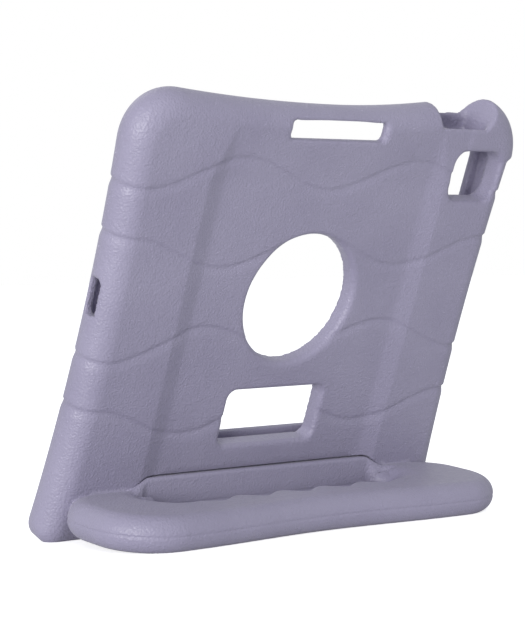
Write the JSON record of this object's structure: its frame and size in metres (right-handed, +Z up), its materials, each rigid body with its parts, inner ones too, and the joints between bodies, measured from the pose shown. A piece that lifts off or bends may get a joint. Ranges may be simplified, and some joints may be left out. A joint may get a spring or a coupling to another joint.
{
  "type": "kids tablet case",
  "caption": "Thick moulded foam case for a tablet on its long side, leaning back on a wide rear carry handle that also serves as its stand.",
  "frame": {"origin": "middle of the footprint on the table, at the lowest face", "axes": "+Z up; the screen side faces -Y; the handle lies towards +Y; seen from behind, -X is to the right"},
  "size_m": [0.2738, 0.1068, 0.231],
  "materials": {
    "foam": "satin pebbled foam skin, pale lavender grey"
  },
  "bodies": {
    "root": {"case": "foam"}
  },
  "joints": []
}
